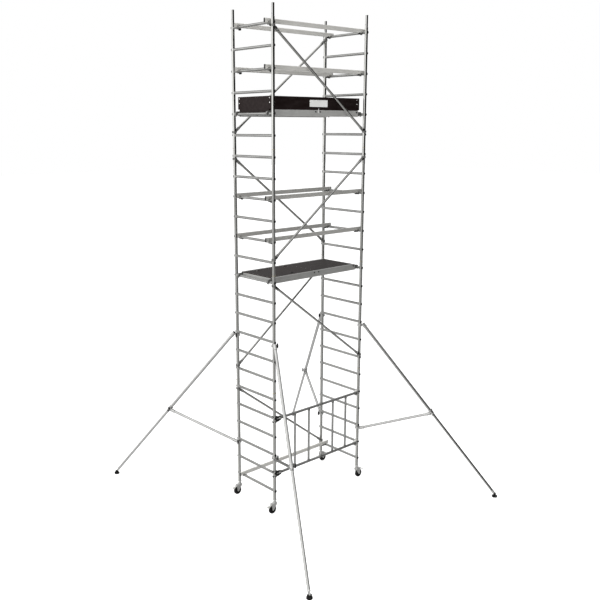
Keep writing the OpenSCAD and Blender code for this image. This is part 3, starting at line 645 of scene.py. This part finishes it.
def deck_details():
    """Extrusion lines, end caps, board screws and the bolts' hexagons on both decks."""
    for name, number in DECKS.items():
        z = rung_z(number)
        lines, caps, screws, heads = Build(), Build(), Build(), Build()
        for face in (-1, 1):
            y = DECK_Y + face * (DECK_HALF_W + 0.0002)
            for up in (BEAM_LOW + 0.006, 0.004, BEAM_TOP - 0.006):
                bar(lines, (-DECK_HALF_L + 0.002, y, z + up), (DECK_HALF_L - 0.002, y, z + up),
                    0.006, 0.0018, (0, 0, 1), -0.2)
            for end in (-1, 1):
                middle = (end * (DECK_HALF_L + 0.0002), DECK_Y + face * (DECK_HALF_W - 0.015),
                          z + (BEAM_TOP + BEAM_LOW) / 2)
                caps.extruded(rounded_outline(BEAM_TOP - BEAM_LOW - 0.002, 0.028, 0.003), 0, 0.0022,
                              place(middle, (end, 0, 0), (0, 0, 1)), 0.0006)
            for x in (-0.787, -0.028, 0.058, 0.787):
                bolt(heads, (x, DECK_Y + face * (DECK_HALF_W + 0.0041), z + 0.030), (0, face, 0),
                     0.0075, 0.004, 0.1 * (1 + x))
        inner = DECK_HALF_W - 0.030
        for x in [-0.80 + 0.16 * i for i in range(11)]:
            for face in (-1, 1):
                rivet(screws, (x, DECK_Y + face * (inner - 0.014), z + DECK_TOP), (0, 0, 1), 0.005, 0.001)
        for y in (-0.2, -0.1, 0.0, 0.1, 0.2):
            for x in (-0.806, 0.806, 0.030):
                rivet(screws, (x, DECK_Y + y, z + DECK_TOP), (0, 0, 1), 0.005, 0.001)
        lines.piece(name + "_deck_lines", "deck_aluminium", "tower")
        caps.piece(name + "_deck_caps", "black_plastic", "tower")
        screws.piece(name + "_deck_screws", "zinc_plate", "tower")
        heads.piece(name + "_deck_bolts", "black_plastic", "tower")
        hatch_details(name, z + DECK_TOP)


def hatch_details(name, top):
    """The turn latch, its finger ring and the rivets of one trapdoor."""
    latch, studs = Build(), Build()
    front, rear = DECK_Y - 0.261, DECK_Y + 0.246
    at = place((-0.345, front + 0.045, top), (0, 0, 1))
    latch.turned([(0.024, -0.001), (0.030, -0.001), (0.031, 0.001), (0.029, 0.0028),
                  (0.021, 0.0028), (0.019, 0.0012), (0.001, 0.0012)], at, 32)
    latch.extruded(rounded_outline(0.044, 0.011, 0.004), 0.001, 0.0065, at, 0.0014)
    latch.extruded(rounded_outline(0.018, 0.050, 0.004), -0.0155, -0.0105,
                   place((-0.345, front + 0.018, top), (0, 0, 1)), 0.001)
    for x in (-0.574, -0.070):
        for dx in (-0.010, 0.010):
            rivet(studs, (x + dx, rear - 0.014, top + 0.003), (0, 0, 1), 0.0032, 0.0016)
    for x in (-0.640, -0.345, -0.050):
        for y in (front + 0.014, rear - 0.030):
            rivet(studs, (x, y, top), (0, 0, 1), 0.004, 0.001)
    latch.piece(name + "_hatch_latch", "black_plastic", name + "_hatch")
    studs.piece(name + "_hatch_rivets", "zinc_plate", name + "_hatch")


def toe_board_details():
    """A raised rim and two screws on the blank plate, and capping strips on the boards."""
    rim, strips = Build(), Build()
    y = DECK_Y - 0.336 + 0.0001
    z = rung_z(20) + 0.140
    for low_x, high_x, up in ((-0.137, 0.203, -0.046), (-0.137, 0.203, 0.046)):
        bar(rim, (low_x + 0.006, y, z + up * 0.94), (high_x - 0.006, y, z + up * 0.94), 0.003, 0.0014,
            (0, 0, 1), -0.2)
    for x in (-0.133, 0.199):
        bar(rim, (x, y, z - 0.040), (x, y, z + 0.040), 0.003, 0.0014, (1, 0, 0), -0.2)
        rivet(rim, (x + (0.014 if x < 0 else -0.014), y + 0.0002, z), (0, -1, 0), 0.0035, 0.0014)
    top = rung_z(20) + BEAM_TOP + 0.172
    for face in (-1, 1):
        at_y = DECK_Y + face * (DECK_HALF_W - 0.013)
        bar(strips, (-0.818, at_y, top + 0.0004), (0.818, at_y, top + 0.0004), 0.0165, 0.0016, (0, 1, 0))
        at_x = face * (DECK_HALF_L + 0.011)
        bar(strips, (at_x, DECK_Y - 0.340, top + 0.0004), (at_x, DECK_Y + 0.340, top + 0.0004),
            0.0165, 0.0016, (1, 0, 0))
    rim.piece("toe_plate_rim", "white_fittings", "tower")
    strips.piece("toe_board_strips", "toe_board_plywood", "tower")


# ---------------------------------------------------------------- base gate

def gate_details():
    """Flutes, collars, washers and clamp bolts of the two folding leaves."""
    for body, side, low_x, high_x in (("gate_left", -1, -HALF_L + 0.150, GATE_MID_X - 0.030),
                                      ("gate_right", 1, GATE_MID_X + 0.030, HALF_L - 0.092)):
        ribs, collars = Build(), Build()
        for z in GATE_Z:
            flutes(ribs, (low_x, -HALF_W, z), (high_x, -HALF_W, z), RUNG_R, FLUTE_W, (0, -1, 0),
                   height=0.0018)
            for u in UPRIGHT_X:
                way = 1 if z == GATE_Z[0] else -1
                foot = (GATE_MID_X + side * u, -HALF_W, z + way * (RUNG_R + 0.008))
                band(collars, foot, (0, 0, 1), UPRIGHT_R - 0.0004, UPRIGHT_R + 0.0034, 0.018)
        for u in UPRIGHT_X:
            x = GATE_MID_X + side * u
            flutes(ribs, (x, -HALF_W, GATE_Z[0] + 0.036), (x, -HALF_W, GATE_Z[1] - 0.036), UPRIGHT_R,
                   0.0118, (-0.6, -1, 0), height=0.0010)
        ribs.piece(body + "_flutes", "bright_tube", body)
        collars.piece(body + "_collars", "cast_claw", body)
    washers, bolts = Build(), Build()
    for z in GATE_Z:
        for up in (-0.0195, 0.0195):
            band(washers, (GATE_MID_X, -HALF_W + 0.020, z + up), (0, 0, 1), 0.0052, 0.0092, 0.0016)
        for up in (-0.036, 0.042):
            bolt(bolts, (-HALF_L - 0.018, -HALF_W - 0.0255, z + up), (-0.55, -0.84, 0), 0.0062, 0.005)
        for x in (-HALF_L + 0.040, -HALF_L + 0.072):
            bolt(bolts, (x, -HALF_W - 0.014, z + 0.004 * (1 if x < -0.82 else 0)), (0, -1, 0), 0.0062, 0.005)
        rivet(bolts, (-HALF_L + 0.114, -HALF_W, z + 0.028), (0, 0, 1), 0.0085, 0.004)
    washers.piece("gate_centre_washers", "zinc_plate", "gate_left")
    bolts.piece("gate_post_bolts", "zinc_plate", "tower")
    levers = Build()
    for z in GATE_Z:
        at = place((HALF_L - 0.046, -HALF_W - 0.0142, z - 0.002), (0, -1, 0), (0, 0, 1))
        levers.extruded([(-0.028, -0.006), (-0.020, -0.010), (0.022, -0.008), (0.030, 0.0),
                         (0.022, 0.008), (-0.020, 0.010), (-0.028, 0.006)], 0, 0.007, at, 0.0016)
        bolt(levers, (HALF_L - 0.046, -HALF_W - 0.0212, z + 0.012), (0, -1, 0), 0.006, 0.004)
    levers.piece("gate_right_levers", "cast_claw", "gate_right")


# ---------------------------------------------------------------- castors

WHEEL_R = 0.0625
TRAIL = 0.044
FORK_TOP = 0.154
FORK_IN = 0.020
PEDAL = Vector((0.052, 0, 0.139))
PEDAL_SLOPE = math.radians(24)
STANDARD_LOW = 0.208


def castor_details():
    """Swivel race, fork ribs, wheel spokes, axle washers, pedal grips and stem collar."""
    for key, (sx, sy) in CORNERS.items():
        home = Matrix.Translation((sx * HALF_L, sy * HALF_W, 0)) @ Matrix.Diagonal((sx, 1, 1, 1))
        name = "castor_" + key

        def turned_at(build, position, axis, inner, outer, width):
            at = home @ Vector(position)
            band(build, at, Vector((axis[0] * sx, axis[1], axis[2])), inner, outer, width)

        race, ribs, spokes, grips, collar = (Build() for _ in range(5))
        turned_at(race, (0, 0, FORK_TOP - 0.0022), (0, 0, 1), 0.0275, 0.0305, 0.0072)
        for face in (-1, 1):
            y = face * (FORK_IN + 0.0042)
            for a, b in (((-0.018, 0.140), (0.030, 0.070)), ((0.062, 0.124), (0.052, 0.072))):
                bar(ribs, home @ Vector((a[0], y, a[1])), home @ Vector((b[0], y, b[1])), 0.005, 0.0022,
                    (b[1] - a[1], 0, (a[0] - b[0]) * sx), -0.2)
            turned_at(ribs, (TRAIL, face * (FORK_IN + 0.0048), WHEEL_R), (0, 1, 0), 0.0055, 0.0125, 0.0016)
            for i in range(8):
                t = 2 * math.pi * (i + 0.5) / 8
                out = Vector((math.cos(t), 0, math.sin(t)))
                hub = Vector((TRAIL, face * 0.0118, WHEEL_R))
                bar(spokes, home @ (hub + out * 0.019), home @ (hub + out * 0.0475), 0.006, 0.006,
                    (-math.sin(t) * sx, 0, math.cos(t)))
            turned_at(spokes, (TRAIL, face * 0.0152, WHEEL_R), (0, 1, 0), 0.0455, 0.0490, 0.0032)
        tilt = Matrix.Translation(PEDAL) @ Matrix.Rotation(PEDAL_SLOPE, 4, "Y")
        for i in range(5):
            x = 0.0645 + 0.0038 * i
            a, b = home @ tilt @ Vector((x, -0.021, 0.0094)), home @ tilt @ Vector((x, 0.021, 0.0094))
            bar(grips, a, b, 0.0018, 0.0018, (sx, 0, 0))
        a, b = home @ tilt @ Vector((0.010, 0, 0.0064)), home @ tilt @ Vector((0.058, 0, 0.0064))
        bar(grips, a, b, 0.012, 0.0016, (0, 1, 0), -0.2)
        turned_at(collar, (0, 0, STANDARD_LOW - 0.0062), (0, 0, 1), 0.0246, 0.0272, 0.0070)
        turned_at(collar, (0, 0, STANDARD_LOW - 0.020), (0, 0, 1), 0.0168, 0.0190, 0.0050)
        bolt(collar, home @ Vector((0, 0, 0)) + Vector((0, sy * 0.0268, STANDARD_LOW - 0.0062)), (0, sy, 0),
             0.004, 0.006)
        race.piece(name + "_race", "zinc_plate", name)
        ribs.piece(name + "_ribs", "zinc_plate", name)
        spokes.piece(name + "_spokes", "black_plastic", name + "_wheel")
        grips.piece(name + "_grips", "pedal_paint", name + "_brake")
        collar.piece(name + "_collar", "zinc_plate", "tower")


# ---------------------------------------------------------------- outriggers



def outrigger_details():
    """A leg rim, sleeves, clamp bolts, leg fittings, knob grips and foot rims of the four outriggers."""
    for key in CORNERS:
        home = outrigger_frame(key)
        turn = home.to_3x3()
        name = "outrigger_" + key
        ribs, sleeves, bolts, lower, foot = (Build() for _ in range(5))
        band(ribs, home @ (LEG_TOP + LEG_WAY * (UPPER_END - 0.006)), turn @ LEG_WAY,
             LEG_R - 0.0006, LEG_R + 0.0016, 0.010)
        band(lower, home @ (LEG_TOP + LEG_WAY * (LOWER_END - 0.012)), turn @ LEG_WAY,
             LOWER_LEG_R - 0.0006, LOWER_LEG_R + 0.0018, 0.022)
        for share in (0.4, 0.6, 0.8):
            at = LEG_TOP + LEG_WAY * (UPPER_END + share * (LOWER_END - UPPER_END))
            rivet(lower, home @ (at + Vector((0, LOWER_LEG_R - 0.0004, 0))), turn @ Vector((0, 1, 0)),
                  0.0055, 0.0022)
        for at, way, r in ((LEG_TOP + LEG_WAY * 0.033, LEG_WAY, LEG_R + 0.005),
                           (STRUT_ROOT + STRUT_WAY * 0.037, STRUT_WAY, STRUT_R + 0.005),
                           (STRUT_ROOT + STRUT_WAY * (STRUT_L - 0.027), STRUT_WAY, STRUT_R + 0.005),
                           (COLLAR - LEG_WAY * 0.028, LEG_WAY, LEG_R + 0.007),
                           (COLLAR + LEG_WAY * 0.028, LEG_WAY, LEG_R + 0.007)):
            band(sleeves, home @ at, turn @ way, r - 0.0006, r + 0.0018, 0.008)
        for z in (LEG_TOP.z, STRUT_ROOT.z):
            for up in (-0.0145, 0.0145):
                band(sleeves, home @ Vector((0, 0, z + up)), (0, 0, 1), CLAMP_R - 0.0006,
                     CLAMP_R + 0.0018, 0.0055)
            bolt(bolts, home @ Vector((0, 0.0004 - CLAMP_R, z)), turn @ Vector((0, -1, 0)), 0.009, 0.007)
        bolt(bolts, home @ (COLLAR - Vector((0, LEG_R + 0.0066, 0))), turn @ Vector((0, -1, 0)),
             0.008, 0.006)
        for knob, x, z, bar_at in (("top", 0, LEG_TOP.z, 0.0495), ("low", 0, STRUT_ROOT.z, 0.0495),
                                   ("collar", COLLAR.x, COLLAR.z, 0.0485)):
            grip = Build()
            centre = home @ Vector((x, bar_at, z))
            for up in (-0.026, -0.019, -0.012, 0.012, 0.019, 0.026):
                band(grip, centre + Vector((0, 0, up)), (0, 0, 1), 0.0096, 0.0112, 0.0036, 20)
            for end in (-1, 1):
                rivet(grip, centre + Vector((0, 0, end * 0.030)), (0, 0, end), 0.0094, 0.003)
            out = turn @ Vector((0, 1, 0))
            rivet(grip, centre + out * 0.0094, out, 0.007, 0.0035)
            grip.piece(name + "_%s_grip" % knob, "black_plastic", name + "_%s_knob" % knob)
        for z in (0.0065, 0.0145):
            band(foot, home @ Vector((LEG_FOOT.x, 0, z)), (0, 0, 1), 0.0374, 0.0392, 0.004, 36)
        for face in (-1, 1):
            bolt(foot, home @ Vector((LEG_FOOT.x, face * 0.0250, ANKLE_Z)),
                 turn @ Vector((0, face, 0)), 0.0085, 0.004)
        ribs.piece(name + "_leg_rim", "black_plastic", name)
        sleeves.piece(name + "_sleeves", "zinc_plate", name)
        bolts.piece(name + "_clamp_bolts", "zinc_plate", name)
        lower.piece(name + "_leg_fittings", "zinc_plate", name + "_leg")
        foot.piece(name + "_foot_rims", "black_rubber", name + "_foot")


joint_bands()
rail_details()
brace_details()
deck_details()
toe_board_details()
gate_details()
castor_details()
outrigger_details()

# ---------------------------------------------------------------- stage, light and camera

def along(tree, vector, direction, stops):
    """A grey that depends on how far a vector points in a direction."""
    side = tree.nodes.new("ShaderNodeVectorMath")
    side.operation = "DOT_PRODUCT"
    side.inputs[1].default_value = direction
    tree.links.new(vector, side.inputs[0])
    ramp = tree.nodes.new("ShaderNodeValToRGB")
    for element, (position, grey) in zip(ramp.color_ramp.elements, stops):
        element.position = position
        element.color = (grey, grey, grey, 1)
    tree.links.new(side.outputs["Value"], ramp.inputs["Fac"])
    return ramp.outputs["Color"]


def blended(tree, mode, a, b, share=None):
    mix = tree.nodes.new("ShaderNodeMix")
    mix.data_type = "RGBA"
    mix.blend_type = mode
    mix.inputs[0].default_value = 1.0
    if share:
        tree.links.new(share, mix.inputs[0])
    tree.links.new(a, mix.inputs[6])
    tree.links.new(b, mix.inputs[7])
    return mix.outputs[2]


def studio_grey(tree, vector, stops):
    """The studio's left-to-right grey under a light ceiling, dark again behind the tower."""
    sides = along(tree, vector, DARK_SIDE, stops)
    ceiling = along(tree, vector, (0, 0, 1), CEILING_GREYS)
    lit = blended(tree, "LIGHTEN", sides, ceiling)
    return blended(tree, "MULTIPLY", lit, along(tree, vector, DARK_BACK, BACK_GREYS))


def seen_or_reflected(tree, seen, reflected, output):
    """Shows one shader to the camera and another to everything else."""
    path = tree.nodes.new("ShaderNodeLightPath")
    mix = tree.nodes.new("ShaderNodeMixShader")
    tree.links.new(path.outputs["Is Camera Ray"], mix.inputs["Fac"])
    tree.links.new(reflected, mix.inputs[1])
    tree.links.new(seen, mix.inputs[2])
    tree.links.new(mix.outputs["Shader"], output)


def stage_floor():
    """A pale floor. Tubes see it as grey, lighter on the left, and the camera as near white."""
    bpy.ops.mesh.primitive_plane_add(size=160, location=(0, 0, -0.0005))
    floor = bpy.context.object
    floor.name = "studio_floor"
    m = Nodes("studio_floor")
    tone = m.noise(m.coord, 0.4)
    m.set(Base_Color=m.mix(tone, (0.60, 0.60, 0.60), (0.63, 0.63, 0.63)), Roughness=1.0,
          Specular_IOR_Level=0.0, Emission_Color=(1.0, 1.0, 1.0), Emission_Strength=FLOOR_GLOW)
    incoming = m.new("ShaderNodeNewGeometry").outputs["Incoming"]
    away = m.new("ShaderNodeVectorMath", operation="SCALE")
    away.inputs["Scale"].default_value = -1.0
    m.link(incoming, away.inputs[0])
    grey = m.new("ShaderNodeEmission")
    away = away.outputs["Vector"]
    steepness = along(m.tree, away, (0, 0, -1), FLOOR_FADE)
    floor_grey = blended(m.tree, "MIX", studio_grey(m.tree, away, FAR_GREYS),
                         studio_grey(m.tree, away, FLOOR_GREYS), steepness)
    m.link(floor_grey, grey.inputs["Color"])
    output = m.tree.nodes["Material Output"].inputs["Surface"]
    seen_or_reflected(m.tree, m.bsdf.outputs["BSDF"], grey.outputs["Emission"], output)
    floor.data.materials.append(m.mat)


def studio_light():
    """A white studio for the camera, with one dark side wall that the round tubes reflect."""
    world = bpy.data.worlds.new("studio")
    bpy.context.scene.world = world
    world.use_nodes = True
    tree = world.node_tree
    tree.nodes.clear()
    coord = tree.nodes.new("ShaderNodeTexCoord").outputs["Generated"]
    wall = tree.nodes.new("ShaderNodeBackground")
    tree.links.new(studio_grey(tree, coord, WALL_GREYS), wall.inputs["Color"])
    wall.inputs["Strength"].default_value = WALL_GLOW
    seen = tree.nodes.new("ShaderNodeBackground")
    seen.inputs["Color"].default_value = (1, 1, 1, 1)
    output = tree.nodes.new("ShaderNodeOutputWorld").inputs["Surface"]
    seen_or_reflected(tree, seen.outputs["Background"], wall.outputs["Background"], output)


FLOOR_GLOW = 0.66
FLOOR_GREYS = ((0.02, 0.80), (0.25, 0.40))
FAR_GREYS = ((0.02, 0.66), (0.25, 0.10))
FLOOR_FADE = ((0.0, 0.0), (0.32, 1.0))
WALL_GREYS = ((0.05, 1.0), (0.20, 0.004))
WALL_GLOW = 1.5
CEILING_GREYS = ((0.42, 0.0), (0.62, 0.6))
BACK_GREYS = ((0.35, 1.0), (0.7, 0.35))
DARK_TURN = 0.30


def area_light(name, location, target, size, power):
    data = bpy.data.lights.new(name, "AREA")
    data.shape = "DISK"
    data.size = size
    data.energy = power
    light = bpy.data.objects.new(name, data)
    light.visible_glossy = False
    bpy.context.collection.objects.link(light)
    light.location = location
    light.rotation_euler = (Vector(target) - Vector(location)).to_track_quat("-Z", "Y").to_euler()


CAMERA_AT = Vector((-7.5545, -8.0938, 5.4847))
CAMERA_YAW = -0.7215
CAMERA_PITCH = -0.2324
CAMERA_ROLL = 0.0025
forward = Vector((-math.sin(CAMERA_YAW) * math.cos(CAMERA_PITCH),
                  math.cos(CAMERA_YAW) * math.cos(CAMERA_PITCH), math.sin(CAMERA_PITCH)))
right = Vector((math.cos(CAMERA_YAW), math.sin(CAMERA_YAW), 0))
DARK_SIDE = tuple(right * math.cos(DARK_TURN) - forward * math.sin(DARK_TURN))
DARK_BACK = tuple(Vector((forward.x, forward.y, 0)).normalized())


def camera():
    data = bpy.data.cameras.new("camera")
    data.lens = 45.79
    data.sensor_width = 36
    data.shift_x = 0.0363
    data.shift_y = 0.0129
    data.clip_end = 400
    obj = bpy.data.objects.new("camera", data)
    bpy.context.collection.objects.link(obj)
    up = right.cross(forward)
    basis = Matrix((right, up, -forward)).transposed()
    roll = Matrix.Rotation(CAMERA_ROLL, 3, forward)
    obj.matrix_world = Matrix.Translation(CAMERA_AT) @ (roll @ basis).to_4x4()
    bpy.context.scene.camera = obj


stage_floor()
studio_light()
camera()
area_light("key", (-9, -3, 9), (0, 0, 3.5), 5, 800)
area_light("fill", (-2, -10, 5), (0, 0, 2.5), 6, 260)
bpy.context.scene.view_settings.view_transform = "Standard"
